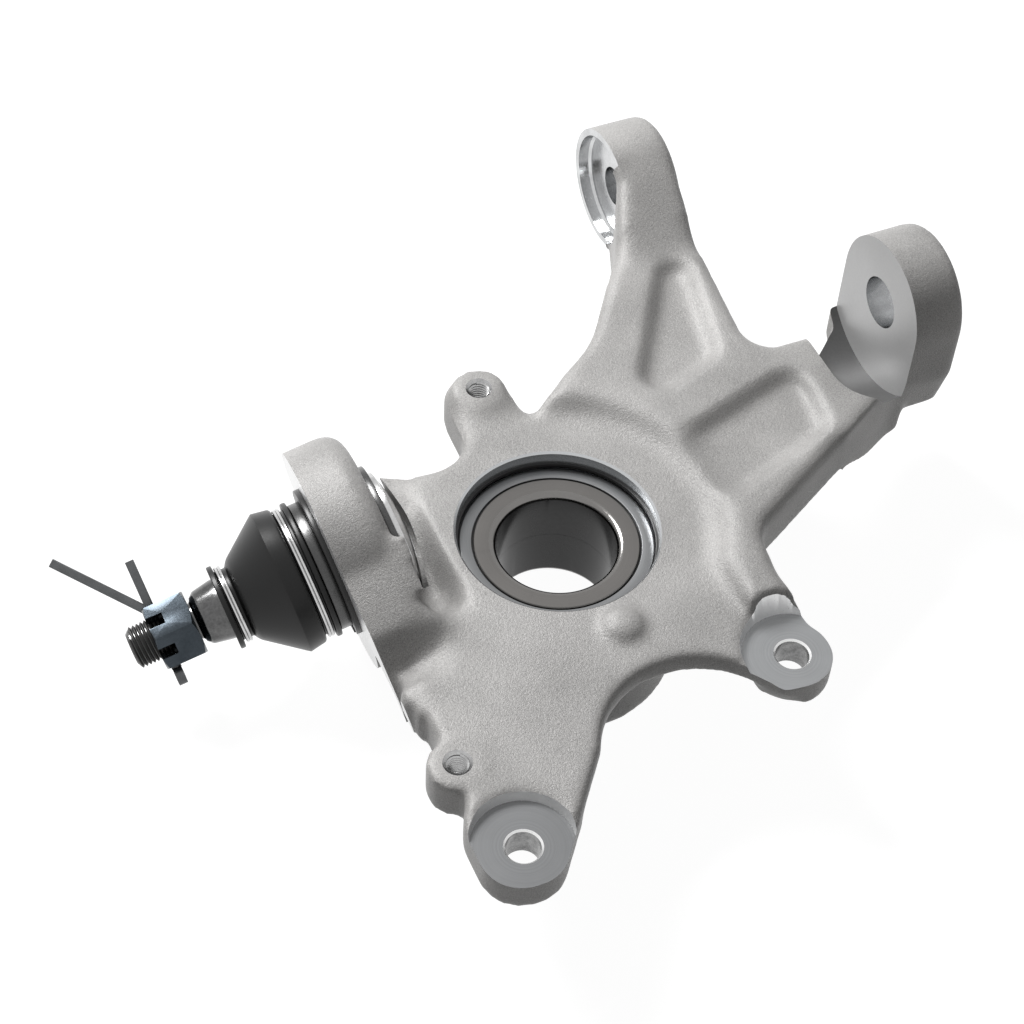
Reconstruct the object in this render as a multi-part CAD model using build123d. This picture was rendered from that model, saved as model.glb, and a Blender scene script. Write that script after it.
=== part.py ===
"""Front steering knuckle with its wheel bearing and ball joint.

One aluminium casting carries a double row wheel bearing in its hub, a ball joint pressed into
its eye, an ear for the upper ball joint, a steering arm with an ear for the tie rod, two
caliper lugs and two small threaded bosses.

Millimetres. Z runs along the wheel axis, outboard side up. The origin is the middle of the
bearing. X runs in plan along the ball joint's axis, from the ball joint towards the upper ear.
"""
from build123d import *
from math import cos, radians, sin, tan
import os

# Wheel bearing
bearing_bore_d = 45.0
bearing_od = 75.0
bearing_width = 45.0
bearing_chamfer = 1.5
inner_face_d = 61.6
inner_land_drop = 2.8
inner_bore_roundover = 2.6
inner_rim_chamfer = 0.3
outer_ring_bore_d = 63.0
ball_d = 9.52
ball_pitch_d = 60.0
ball_row_offset = 9.5
balls_per_row = 16
race_gap = 0.1
seam_gap = 0.1
seal_depth = 0.8
seal_width = 3.2
seal_gap = 0.2
cage_wall = 2.6
cage_drop = 2.45
cage_pocket_gap = 0.3
cage_start = 2.0
cage_past_ball = 3.0
retaining_groove_depth = 1.7
retaining_ring_width = 2.6
retaining_ring_thick = 2.0
retaining_ring_opening = 14.0
retaining_ring_turn_deg = -116.0

# Hub and plate of the casting
plate_top = 30.0
plate_bottom = 13.0
arm_top = 36.5
hub_boss_d = 97.0
hub_boss_bottom = -32.5
hub_shoulder_d = 64.0
hub_lip_chamfer = 0.8
plate_left = -76.0
raised_left = 47.0
arch_centre = (9.0, -106.0)
arch_r = 37.0
arch_bottom = 20.5
arch_relief = 12.0
flat_ring_r = 57.0
flat_ring_step_deg = 45.0
bump_place = (3.0, -49.0)
bump_r = 9.0
bump_height = 1.7
bump_slope = 3.0
bump_dish_r = 4.0
plate_edge_fillet = 3.0
arm_edge_fillet = 5.0

# Caliper lugs, in plan
lug_hole_d = 12.2
lug_face_z = 25.7
lug_spot_d = 36.0
lug_spot_wall_deg = 18.0
lug_bottom = 14.0
lug_near = (55.3, -80.3)
lug_far = (-65.4, -117.0)
lug_end_r = 15.5
lug_near_side = 11.2
lug_far_side = 16.0

# Small threaded bosses, in plan
boss_core_d = 6.8
boss_d = 21.5
boss_upper = (-0.2, 73.2)
boss_upper_top = 33.0
boss_lower = (-74.0, -81.0)
boss_lower_top = 30.4

# Upper ear for the second ball joint
upper_ear_x = 157.0
upper_ear_y = 43.5
upper_ear_z = 50.0
upper_ear_r = 27.0
upper_ear_thick = 22.0
upper_ear_bore_d = 21.0
upper_ear_bottom = 1.0
upper_ear_corner_r = 3.0
scoop_r = 38.0
scoop_start_x = 129.0
scoop_end_r = 17.0

# Tie rod ear on the steering arm
tie_ear_x = 94.0
tie_ear_y = 162.0
tie_ear_z = 30.0
tie_ear_r = 26.0
tie_ear_thick = 25.0
tie_ear_cup_d = 46.0
tie_ear_cup_depth = 5.5
tie_ear_bore_d = 16.8
tie_ear_corner_r = 4.0
strap_slope_deg = 24.0

# Pockets in the arms
pocket_depth = 5.0
pocket_draft_deg = 50.0
pocket_headroom = 8.0
arm_pocket = [(58, 45, 4), (90, 56, 7), (104, 117, 3)]
ear_pocket = [(64, -10, 5), (63, 18, 5), (117, 34, 5), (112, 7, 5)]

# Ball joint: its own axis starts at the eye's machined face and points out of the casting
joint_face_x = -78.2
joint_y = 30.0
joint_face_z = 12.8
joint_tilt_deg = 11.5
eye_thick = 22.0
eye_corner_r = 8.0
eye_wall = 18.5
eye_recess_gap = 0.5
eye_recess_depth = 16.0
eye_recess_corner_r = 8.0
eye_recess_run = 24.0
collar_depth = 14.0
web_outline = [(5, -20), (-24, -8), (-38, 10), (-41, 27), (-34, 18), (-10, 12), (5, 20)]
web_thick = 26.0
housing_d = 50.0
housing_flange_step = 2.5
housing_flange_thick = 3.0
housing_front = 12.4
boot_groove_d = 44.0
boot_groove_start = 6.2
cavity_d = 36.0
mouth_throat_d = 28.4
mouth_front_d = 36.0
throat_start = 0.8
throat_end = 1.5
cavity_shoulder = -3.0
joint_ball_d = 30.0
ball_depth = 8.0
ball_gap = 0.1
seat_front = -0.4
seat_split = -14.0
end_cap_d = 48.0
end_cap_rim = 2.0
end_cap_dome = 4.0
washer_thick = 1.2
washer_od = 32.0
washer_id = 18.0
washer_gap = 1.0
circlip_d = 58.4
circlip_groove_d = 47.6
circlip_thick = 2.0
circlip_opening = 12.0
circlip_turn_deg = 141.0

# Ball stud, slotted nut and split pin
stud_neck_d = 17.0
stud_neck_end = 22.0
stud_collar_d = 23.6
stud_collar_start = 35.0
stud_taper_length = 7.6
stud_taper_end_d = 20.8
stud_shoulder = 53.7
stud_shoulder_cone = 2.9
stud_thread_d = 16.0
stud_end = 79.0
stud_end_chamfer = 1.0
nut_gap = 0.3
nut_flats = 24.0
nut_height = 16.0
nut_slot_width = 4.6
nut_slot_depth = 6.4
nut_chamfer_deg = 30.0
pin_turn_deg = -37.0
pin_d = 3.8
pin_hole_gap = 0.15
pin_from_nut_end = 3.2
pin_eye_r = 3.6
pin_leg_width = 3.3
pin_leg_thick = 1.7
pin_leg_round = 0.4
long_leg_out = 26.0
long_leg_up = 32.0
short_leg_up = 21.0
short_leg_front = 1.0

# Boot and its clamp rings
boot_wall = 1.9
boot_gap = 0.3
boot_bead_d = 53.4
boot_bead_width = 2.3
boot_large_seat_d = 48.4
boot_large_seat_width = 4.0
boot_belly_d = 55.4
boot_belly_at = 19.7
boot_cone_end_d = 31.6
boot_cone_end = 35.0
boot_small_seat_d = 27.2
boot_small_seat_start = 36.4
boot_small_seat_width = 4.1
boot_small_bead_d = 32.6
boot_small_bead_width = 2.1
clamp_wire_d = 1.3
clamp_coil_pitch = 1.25
clamp_coils = 2


def disc(radius, z0, z1):
    """A plain cylinder about Z from z0 to z1."""
    return Pos(0, 0, (z0 + z1) / 2) * Cylinder(radius, z1 - z0)


def ring(outer_r, inner_r, z0, z1):
    """A plain ring about Z from z0 to z1."""
    return disc(outer_r, z0, z1) - disc(inner_r, z0 - 1, z1 + 1)


def turned(points):
    """A body turned about Z from a closed outline of (radius, z) points."""
    outline = Polyline(*[(r, 0, z) for r, z in points], close=True)
    return revolve(make_face(outline), Axis.Z)


def rounded_outline(corners):
    """A flat outline from (x, y, corner radius) points, each corner rounded by a tangent arc."""
    starts, middles, ends = [], [], []
    count = len(corners)
    for i, (x, y, radius) in enumerate(corners):
        corner = Vector(x, y)
        back = (Vector(*corners[i - 1][:2]) - corner).normalized()
        ahead = (Vector(*corners[(i + 1) % count][:2]) - corner).normalized()
        half = radians(back.get_angle(ahead)) / 2
        reach = radius / tan(half)
        inward = (back + ahead).normalized()
        starts.append(corner + back * reach)
        middles.append(corner + inward * (radius / sin(half) - radius))
        ends.append(corner + ahead * reach)
    edges = []
    for i in range(count):
        edges.append(ThreePointArc(starts[i], middles[i], ends[i]))
        edges.append(Line(ends[i], starts[(i + 1) % count]))
    return make_face(edges)


def block(x0, x1, y0, y1, z0, z1):
    """A box between the given limits."""
    body = Box(x1 - x0, y1 - y0, z1 - z0)
    return Pos((x0 + x1) / 2, (y0 + y1) / 2, (z0 + z1) / 2) * body


def along_x(body, x, y, z):
    """Lays a body built about Z along X, its z = 0 plane at x."""
    return Pos(x, y, z) * Rot(0, 90, 0) * body


def row_of(body, count):
    """Copies of a body spaced evenly about Z."""
    return [Rot(0, 0, 360 * i / count) * body for i in range(count)]


eye_r = housing_d / 2 + eye_wall
eye_recess_r = housing_d / 2 + housing_flange_step + eye_recess_gap

# Frame of the ball joint: its z points out of the eye, along the stud, and its x along +Y
joint_axis = Vector(-cos(radians(joint_tilt_deg)), 0, -sin(radians(joint_tilt_deg)))
joint_plane = Plane(
    origin=(joint_face_x, joint_y, joint_face_z), x_dir=(0, 1, 0), z_dir=joint_axis
)


def in_joint(body):
    """Moves a body from the ball joint's own frame to the knuckle's."""
    return joint_plane.location * body


def make_plate():
    """The flat plate round the hub, with the lower arm and both caliper lugs."""
    near_x, near_y = lug_near
    far_x, far_y = lug_far
    up_x, up_y = boss_upper
    near_right = near_x + lug_near_side
    near_end = near_y - lug_end_r + 1
    far_left = far_x - lug_far_side
    far_end = far_y - lug_end_r
    boss_r = boss_d / 2
    outline = rounded_outline([
        (plate_left, -43, 4),
        (-60, -42, 4),
        (-60, joint_y + eye_recess_r + 1, 2),
        (-48, 45, 20),
        (up_x - 15, 44, 14),
        (up_x - boss_r - 2, up_y + boss_r, boss_r - 1),
        (up_x + boss_r + 1, up_y + boss_r, boss_r - 1),
        (up_x + 13, 56, 6),
        (60, 62, 5),
        (60, -30, 5),
        (64, -45, 12),
        (near_right, near_y + 20, 16),
        (near_right, near_end, lug_end_r - 2),
        (near_x - 15, near_end, lug_end_r - 2),
        (-18, -96, 4),
        (-16.5, -81, 4),
        (far_x + 7.7, far_end, lug_end_r - 2),
        (far_left, far_end, lug_end_r - 1),
        (far_left, far_y + 14, 12),
        (plate_left, far_y + 24, 8),
    ])
    arch = Pos(*arch_centre) * Circle(arch_r)
    plate = extrude(Pos(0, 0, plate_bottom) * (outline - arch), plate_top - plate_bottom)
    top_edges = plate.edges().filter_by_position(Axis.Z, plate_top - 0.01, plate_top + 0.01)
    plate = fillet(top_edges, plate_edge_fillet)
    plate -= Pos(*arch_centre) * disc(arch_r + arch_relief, plate_bottom - 1, arch_bottom)
    plate += Pos(*boss_lower) * disc(boss_r, plate_bottom, boss_lower_top)
    plate += Pos(*boss_upper) * disc(boss_r, plate_bottom, boss_upper_top)
    for place in (lug_near, lug_far):
        plate += Pos(*place) * disc(lug_end_r - 1, lug_bottom, plate_top - plate_edge_fillet)
    return plate


def arm_outline():
    """Outline of both arms and the raised ground between them, in plan."""
    near_right = lug_near[0] + lug_near_side
    ear_south = upper_ear_y - upper_ear_r
    ear_north = upper_ear_y + upper_ear_r
    outline = rounded_outline([
        (raised_left, -70, 3),
        (raised_left, 22, 25),
        (12, 54, 4),
        (50, 79, 60),
        (tie_ear_x - 12, 124, 50),
        (tie_ear_x, tie_ear_y - 10, 12),
        (tie_ear_x, tie_ear_y + 10, 2),
        (tie_ear_x + tie_ear_thick, tie_ear_y + 10, 2),
        (tie_ear_x + tie_ear_thick, tie_ear_y - 10, 40),
        (106.5, 50.5, 13),
        (134, 49, 25),
        (upper_ear_x - 4, ear_north - 6, 5),
        (upper_ear_x + 4, ear_north - 6, 2),
        (upper_ear_x + 4, ear_south + 2, 2),
        (upper_ear_x - 4, ear_south, 30),
        (67, -31, 14),
        (64, -52, 12),
        (near_right, -70, 3),
    ])
    return outline


def make_arms():
    """The arms' slab with the ramp up to the tie rod ear, and the deep root of the upper ear."""
    outline = arm_outline()
    slab = extrude(Pos(0, 0, plate_bottom) * outline, arm_top - plate_bottom)
    tall = extrude(Pos(0, 0, upper_ear_bottom) * outline, 80)
    slope = radians(strap_slope_deg)
    touch_y = tie_ear_y - tie_ear_r * sin(slope)
    touch_z = tie_ear_z + tie_ear_r * cos(slope)
    foot_y = touch_y - (touch_z - arm_top) / tan(slope)
    ramp_side = Polyline(
        (0, foot_y, arm_top),
        (0, touch_y, touch_z),
        (0, tie_ear_y, tie_ear_z),
        (0, tie_ear_y - 5, tie_ear_z - tie_ear_r + 1),
        (0, foot_y, plate_bottom),
        close=True,
    )
    ramp = extrude(make_face(ramp_side), 160, dir=(1, 0, 0)) & tall
    root_side = Polyline(
        (118, 0, plate_bottom + 0.5),
        (140, 0, upper_ear_bottom),
        (upper_ear_x + 3, 0, upper_ear_bottom),
        (upper_ear_x + 3, 0, plate_bottom + 0.5),
        close=True,
    )
    root = extrude(make_face(root_side), 120, dir=(0, 1, 0)) & tall
    slab_top = slab.edges().filter_by_position(Axis.Z, arm_top - 0.01, arm_top + 0.01)
    slab = fillet(slab_top, arm_edge_fillet)
    ramp_top = ramp.edges().filter_by_position(Axis.Z, arm_top - 0.01, 100).filter_by(
        lambda e: e.center().Y > foot_y + 1 and e.center().Y < touch_y - 1
    )
    ramp = fillet(ramp_top, arm_edge_fillet)
    return slab + ramp + root


def make_ears():
    """The two ears, before their bores are cut."""
    tie_ear = disc(tie_ear_r, 0, tie_ear_thick)
    tie_ear = fillet(tie_ear.edges().filter_by(GeomType.CIRCLE).sort_by(Axis.Z)[-1], tie_ear_corner_r)
    tie_ear = along_x(tie_ear, tie_ear_x, tie_ear_y, tie_ear_z)
    head = Pos(0, upper_ear_z) * Circle(upper_ear_r)
    shank = make_face(Polyline(
        (-upper_ear_r, upper_ear_z),
        (-upper_ear_r, upper_ear_bottom + 27),
        (5 - upper_ear_r, upper_ear_bottom + 8),
        (12 - upper_ear_r, upper_ear_bottom),
        (upper_ear_r - 6, upper_ear_bottom),
        (upper_ear_r, upper_ear_bottom + 8),
        (upper_ear_r, upper_ear_z),
        close=True,
    ))
    across = Plane(origin=(upper_ear_x, upper_ear_y, 0), x_dir=(0, 1, 0), z_dir=(1, 0, 0))
    upper_ear = extrude(across * (head + shank), upper_ear_thick)
    upper_ear = fillet(upper_ear.faces().sort_by(Axis.X)[-1].edges(), upper_ear_corner_r)
    return tie_ear + upper_ear


def make_eye():
    """The thick disc that holds the ball joint, and the web that ties it to the plate."""
    body = disc(eye_r, -eye_thick, 0)
    body = fillet(body.edges().filter_by(GeomType.CIRCLE).sort_by(Axis.Z)[0], eye_corner_r)
    web = Polyline(*[(y - joint_y, z - joint_face_z) for y, z in web_outline], close=True)
    web = Pos(0, 0, -web_thick) * extrude(make_face(web), web_thick)
    collar = in_joint(disc(eye_r, -eye_thick - collar_depth, eye_corner_r - eye_thick))
    collar &= block(-200, 0, -100, joint_y + eye_recess_r, -100, plate_top - plate_edge_fillet)
    return in_joint(body) + in_joint(web) + collar


def pocket(corners, slab_top):
    """Cutter for a sunk panel with sloping walls; its corners are those of the floor."""
    floor = Pos(0, 0, slab_top - pocket_depth) * rounded_outline(corners)
    return extrude(floor, pocket_depth + pocket_headroom, taper=-pocket_draft_deg)


def cut_hub(body):
    """Bores the hub for the bearing and faces the flat ring round it."""
    radius = bearing_od / 2
    seat = -bearing_width / 2
    face = bearing_width / 2
    step = 10 / tan(radians(flat_ring_step_deg))
    body -= turned([
        (0, plate_top),
        (flat_ring_r, plate_top),
        (flat_ring_r + step, plate_top + 10),
        (0, plate_top + 10),
    ])
    body -= turned([
        (0, hub_boss_bottom - 1),
        (hub_shoulder_d / 2, hub_boss_bottom - 1),
        (hub_shoulder_d / 2, seat),
        (radius, seat),
        (radius, face),
        (radius + retaining_groove_depth, face),
        (radius + retaining_groove_depth, face + retaining_ring_thick),
        (radius, face + retaining_ring_thick),
        (radius, plate_top - hub_lip_chamfer),
        (radius + hub_lip_chamfer + 1, plate_top + 1),
        (0, plate_top + 1),
    ])
    return body


def cut_lugs(body):
    """Spot faces and bores the caliper lugs, and drills the threaded bosses."""
    rise = arm_top + 10 - lug_face_z
    spot = turned([
        (0, lug_face_z),
        (lug_spot_d / 2, lug_face_z),
        (lug_spot_d / 2 + rise * tan(radians(lug_spot_wall_deg)), lug_face_z + rise),
        (0, lug_face_z + rise),
    ])
    for place in (lug_near, lug_far):
        body -= Pos(*place) * spot
        body -= Pos(*place) * disc(lug_hole_d / 2, 0, arm_top)
    for place in (boss_upper, boss_lower):
        body -= Pos(*place) * disc(boss_core_d / 2, 0, arm_top)
    return body


def cut_ears(body):
    """Bores both ears, with the cup in one and the cutter's scoop in front of the other."""
    cup = disc(tie_ear_cup_d / 2, -20, tie_ear_cup_depth)
    bore = disc(tie_ear_bore_d / 2, -20, tie_ear_thick + 1)
    body -= along_x(cup + bore, tie_ear_x, tie_ear_y, tie_ear_z)
    depth = upper_ear_x - scoop_start_x
    scoop = disc(scoop_r, -depth, 0)
    scoop = fillet(scoop.edges().filter_by(GeomType.CIRCLE).sort_by(Axis.Z)[0], scoop_end_r)
    bore = disc(upper_ear_bore_d / 2, -1, upper_ear_thick + 1)
    return body - along_x(scoop + bore, upper_ear_x, upper_ear_y, upper_ear_z)


def cut_eye(body):
    """Bores the eye and clears the room for the housing's flange and end cap behind it."""
    slot = SlotCenterToCenter(eye_recess_run, 2 * eye_recess_r)
    slot = Pos(-eye_recess_run / 2, 0, -eye_thick - eye_recess_depth) * slot
    recess = extrude(slot, eye_recess_depth)
    recess = fillet(recess.faces().sort_by(Axis.Z)[0].edges(), eye_recess_corner_r)
    return body - in_joint(recess + disc(housing_d / 2, -eye_thick - 1, 1))


def make_casting():
    """The whole casting with its machined faces and holes."""
    hub = disc(hub_boss_d / 2, hub_boss_bottom, plate_top - 0.5)
    body = make_plate() + make_arms() + make_ears() + make_eye() + hub
    body -= pocket(arm_pocket, arm_top)
    body -= pocket(ear_pocket, arm_top)
    body = cut_ears(cut_eye(cut_lugs(cut_hub(body))))
    bump = turned([
        (0, plate_top - 1),
        (bump_r, plate_top - 1),
        (bump_r, plate_top),
        (bump_r - bump_slope, plate_top + bump_height),
        (bump_dish_r, plate_top + bump_height),
        (0, plate_top + bump_height / 2),
    ])
    return body + Pos(*bump_place) * bump


def ball_tracks():
    """The two grooves that the rows of balls run in."""
    track = Torus(ball_pitch_d / 2, ball_d / 2 + race_gap)
    return Pos(0, 0, ball_row_offset) * track + Pos(0, 0, -ball_row_offset) * track


def make_outer_ring():
    """The bearing's outer ring, one piece with two races."""
    radius = bearing_od / 2
    half = bearing_width / 2
    body = turned([
        (outer_ring_bore_d / 2, -half),
        (radius - bearing_chamfer, -half),
        (radius, bearing_chamfer - half),
        (radius, half - bearing_chamfer),
        (radius - bearing_chamfer, half),
        (outer_ring_bore_d / 2, half),
    ])
    return body - ball_tracks()


def make_inner_ring():
    """One of the two inner rings, the outboard one."""
    half = bearing_width / 2
    land_r = ball_pitch_d / 2 - inner_land_drop
    body = turned([
        (bearing_bore_d / 2, seam_gap / 2),
        (land_r, seam_gap / 2),
        (land_r, ball_row_offset),
        (inner_face_d / 2, ball_row_offset),
        (inner_face_d / 2, half),
        (bearing_bore_d / 2, half),
    ])
    rims = body.edges().filter_by_position(Axis.Z, half - 0.01, half + 0.01)
    rims = rims.filter_by(GeomType.CIRCLE).sort_by(SortBy.RADIUS)
    body = fillet(rims[0], inner_bore_roundover)
    rims = body.edges().filter_by_position(Axis.Z, half - 0.01, half + 0.01)
    rims = rims.filter_by(GeomType.CIRCLE).sort_by(SortBy.RADIUS)
    body = chamfer(rims[-1], inner_rim_chamfer)
    return body - ball_tracks()


def make_balls():
    """The outboard row of balls."""
    ball = Pos(ball_pitch_d / 2, 0, ball_row_offset) * Sphere(ball_d / 2)
    return Compound(children=row_of(ball, balls_per_row))


def make_cage():
    """The outboard cage, a crown that snaps over the balls."""
    inner = ball_pitch_d / 2 - cage_drop
    body = ring(inner + cage_wall, inner, cage_start, ball_row_offset + cage_past_ball)
    room = Pos(ball_pitch_d / 2, 0, ball_row_offset) * Sphere(ball_d / 2 + cage_pocket_gap)
    for ball_room in row_of(room, balls_per_row):
        body -= ball_room
    return body


def make_seal():
    """The outboard seal, pressed into the outer ring and clear of the inner one."""
    top = bearing_width / 2 - seal_depth
    return ring(outer_ring_bore_d / 2, inner_face_d / 2 + seal_gap, top - seal_width, top)


def make_retaining_ring():
    """The open spring ring that keeps the bearing in the hub."""
    outer = bearing_od / 2 + retaining_groove_depth
    bottom = bearing_width / 2
    body = ring(outer, outer - retaining_ring_width, bottom, bottom + retaining_ring_thick)
    half = retaining_ring_opening / 2
    opening = block(0, outer + 1, -half, half, bottom - 1, bottom + retaining_ring_thick + 1)
    return body - Rot(0, 0, retaining_ring_turn_deg) * opening


housing_back = -eye_thick - housing_flange_thick
ball_at = Pos(0, 0, -ball_depth)


def make_housing():
    """The ball joint's housing, pressed through the eye from behind up to its flange."""
    return turned([
        (cavity_d / 2, housing_back),
        (housing_d / 2 + housing_flange_step, housing_back),
        (housing_d / 2 + housing_flange_step, -eye_thick),
        (housing_d / 2, -eye_thick),
        (housing_d / 2, 0),
        (circlip_groove_d / 2, 0),
        (circlip_groove_d / 2, circlip_thick),
        (housing_d / 2, circlip_thick),
        (housing_d / 2, boot_groove_start),
        (boot_groove_d / 2, boot_groove_start),
        (boot_groove_d / 2, housing_front),
        (mouth_front_d / 2, housing_front),
        (mouth_throat_d / 2, throat_end),
        (mouth_throat_d / 2, throat_start),
        (cavity_d / 2, cavity_shoulder),
    ])


def make_seat():
    """The front bearing shell round the ball."""
    drop = (seat_front - cavity_shoulder) / (throat_start - cavity_shoulder)
    front_r = cavity_d / 2 - drop * (cavity_d - mouth_throat_d) / 2
    body = turned([
        (0, seat_split),
        (cavity_d / 2, seat_split),
        (cavity_d / 2, cavity_shoulder),
        (front_r, seat_front),
        (0, seat_front),
    ])
    return body - ball_at * Sphere(joint_ball_d / 2 + ball_gap)


def make_bottom_seat():
    """The rear bearing shell, pushed forward by the wave washer."""
    return disc(cavity_d / 2, housing_back, seat_split) - ball_at * Sphere(joint_ball_d / 2 + ball_gap)


def make_washer():
    """The spring washer behind the rear shell."""
    return ring(washer_od / 2, washer_id / 2, housing_back - washer_thick, housing_back)


def make_end_cap():
    """The domed cap that closes the housing."""
    radius = end_cap_d / 2
    end = housing_back - end_cap_rim - end_cap_dome
    sphere_r = (radius ** 2 + end_cap_dome ** 2) / (2 * end_cap_dome)
    body = disc(radius, end, housing_back) & Pos(0, 0, end + sphere_r) * Sphere(sphere_r)
    return body - disc(washer_od / 2 + washer_gap, housing_back - washer_thick, housing_back + 1)


def make_circlip():
    """The circlip that locks the housing against the eye's face."""
    body = ring(circlip_d / 2, circlip_groove_d / 2, 0, circlip_thick)
    half = circlip_opening / 2
    opening = block(0, circlip_d, -half, half, -1, circlip_thick + 1)
    return body - Rot(0, 0, circlip_turn_deg) * opening


nut_start = stud_shoulder + nut_gap
nut_end = nut_start + nut_height
pin_at = nut_end - pin_from_nut_end

# The pin's own frame: its x runs through the stud towards the legs, its z along the stud
pin_frame = Pos(0, 0, pin_at) * Rot(0, 0, pin_turn_deg)


def make_stud():
    """The ball stud with its tapered shank, thread and cross hole."""
    thread_r = stud_thread_d / 2
    taper_end = stud_shoulder - stud_shoulder_cone
    body = turned([
        (0, -ball_depth),
        (stud_neck_d / 2, -ball_depth),
        (stud_neck_d / 2, stud_neck_end),
        (stud_collar_d / 2, stud_collar_start),
        (stud_collar_d / 2, taper_end - stud_taper_length),
        (stud_taper_end_d / 2, taper_end),
        (thread_r, stud_shoulder),
        (thread_r, stud_end - stud_end_chamfer),
        (thread_r - stud_end_chamfer, stud_end),
        (0, stud_end),
    ])
    body += ball_at * Sphere(joint_ball_d / 2)
    hole = Rot(0, 90, 0) * Cylinder(pin_d / 2 + pin_hole_gap, 2 * stud_thread_d)
    return body - pin_frame * hole


def make_nut():
    """The slotted nut; two of its slots line up with the stud's cross hole."""
    flat_r = nut_flats / 2
    corner_r = flat_r / cos(radians(30))
    prism = Rot(0, 0, pin_turn_deg - 30) * RegularPolygon(corner_r, 6)
    body = Pos(0, 0, nut_start) * extrude(prism, nut_height)
    reach = 3.0
    fall = reach * tan(radians(nut_chamfer_deg))
    body &= turned([
        (stud_thread_d / 2, nut_start),
        (flat_r, nut_start),
        (flat_r + reach, nut_start + fall),
        (flat_r + reach, nut_end - fall),
        (flat_r, nut_end),
        (stud_thread_d / 2, nut_end),
    ])
    half = nut_slot_width / 2
    slot = block(-nut_flats, nut_flats, -half, half, nut_end - nut_slot_depth, nut_end + 1)
    for i in range(3):
        body -= Rot(0, 0, pin_turn_deg + 60 * i) * slot
    return body


def pin_leg(side, tip):
    """One spread leg from where it leaves the stud to its tip; side is +1 or -1 along y."""
    start = Vector(stud_thread_d / 2 + pin_leg_thick / 2, side * pin_leg_thick / 2, 0)
    reach = Vector(*tip)
    section = Plane(origin=start, x_dir=(0, 1, 0), z_dir=reach)
    leg = extrude(section * Rectangle(pin_leg_thick, pin_leg_width), reach.length)
    return fillet(leg.edges().filter_by(GeomType.LINE).sort_by(SortBy.LENGTH)[-4:], pin_leg_round)


def make_pin():
    """The split pin: its eye, the shank through stud and nut, and two spread legs."""
    head_x = -nut_flats / 2 - pin_eye_r - pin_hole_gap
    eye = ring(pin_eye_r, pin_eye_r - pin_leg_thick, -pin_leg_width / 2, pin_leg_width / 2)
    shank_start = head_x + pin_eye_r - pin_leg_thick / 2
    shank_end = stud_thread_d / 2 + pin_leg_thick
    shank = along_x(disc(pin_d / 2, shank_start, shank_end), 0, 0, 0)
    long_leg = pin_leg(1, (long_leg_up, 0, long_leg_out))
    short_leg = pin_leg(-1, (short_leg_up, -short_leg_front, 0))
    return pin_frame * (Pos(head_x, 0, 0) * eye + shank + long_leg + short_leg)


def make_boot():
    """The rubber boot between housing and stud."""
    large_in = boot_groove_d / 2 + boot_gap
    start = boot_groove_start + boot_gap
    small_in = stud_collar_d / 2 + boot_gap
    bead_end = boot_groove_start + boot_bead_width
    seat_end = bead_end + boot_large_seat_width
    small_seat_end = boot_small_seat_start + boot_small_seat_width
    end = small_seat_end + boot_small_bead_width
    return turned([
        (large_in, start),
        (boot_bead_d / 2, start),
        (boot_bead_d / 2, bead_end),
        (boot_large_seat_d / 2, bead_end),
        (boot_large_seat_d / 2, seat_end),
        (boot_belly_d / 2 - boot_wall, seat_end + 0.3),
        (boot_belly_d / 2, boot_belly_at),
        (boot_cone_end_d / 2, boot_cone_end),
        (boot_small_seat_d / 2, boot_small_seat_start),
        (boot_small_seat_d / 2, small_seat_end),
        (boot_small_bead_d / 2, small_seat_end),
        (boot_small_bead_d / 2, end),
        (small_in, end),
        (small_in, boot_small_seat_start),
        (boot_cone_end_d / 2 - boot_wall, boot_cone_end - boot_wall),
        (boot_belly_d / 2 - boot_wall, boot_belly_at),
        (boot_belly_d / 2 - 2 * boot_wall, seat_end + boot_wall),
        (large_in, seat_end + boot_gap),
    ])


def make_clamp(seat_d, seat_start, seat_width):
    """A spring wire ring of a few touching coils, in the middle of its seat."""
    middle = seat_start + seat_width / 2
    wire = Torus(seat_d / 2 + boot_gap + clamp_wire_d / 2, clamp_wire_d / 2)
    places = [middle + (i - (clamp_coils - 1) / 2) * clamp_coil_pitch for i in range(clamp_coils)]
    coils = [Pos(0, 0, place) * wire for place in places]
    return Part() + coils


def flipped(body):
    """The inboard twin of an outboard bearing piece."""
    return mirror(body, Plane.XY)


def write(parts):
    os.makedirs("parts", exist_ok=True)
    for name, shape in parts.items():
        export_step(shape, f"parts/{name}.step")


bearing = {
    "inner_ring": make_inner_ring(),
    "balls": make_balls(),
    "cage": make_cage(),
    "seal": make_seal(),
}
ball_joint = {
    "ball_joint_housing": make_housing(),
    "ball_joint_seat": make_seat(),
    "ball_joint_bottom_seat": make_bottom_seat(),
    "ball_joint_spring_washer": make_washer(),
    "ball_joint_end_cap": make_end_cap(),
    "ball_joint_circlip": make_circlip(),
    "ball_stud": make_stud(),
    "slotted_nut": make_nut(),
    "split_pin": make_pin(),
    "boot": make_boot(),
    "boot_clamp_large": make_clamp(
        boot_large_seat_d, boot_groove_start + boot_bead_width, boot_large_seat_width
    ),
    "boot_clamp_small": make_clamp(
        boot_small_seat_d, boot_small_seat_start, boot_small_seat_width
    ),
}
parts = {
    "knuckle_casting": make_casting(),
    "bearing_outer_ring": make_outer_ring(),
    "bearing_retaining_ring": make_retaining_ring(),
}
for name, shape in bearing.items():
    parts[f"bearing_{name}_outboard"] = shape
    parts[f"bearing_{name}_inboard"] = flipped(shape)
for name, shape in ball_joint.items():
    parts[name] = in_joint(shape)
write(parts)
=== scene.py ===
"""Looks of the steering knuckle: soft cast aluminium, ground bearing, rubber boot, plated fasteners."""

import math

import bmesh
import bpy
from mathutils import Matrix, Vector


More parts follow.
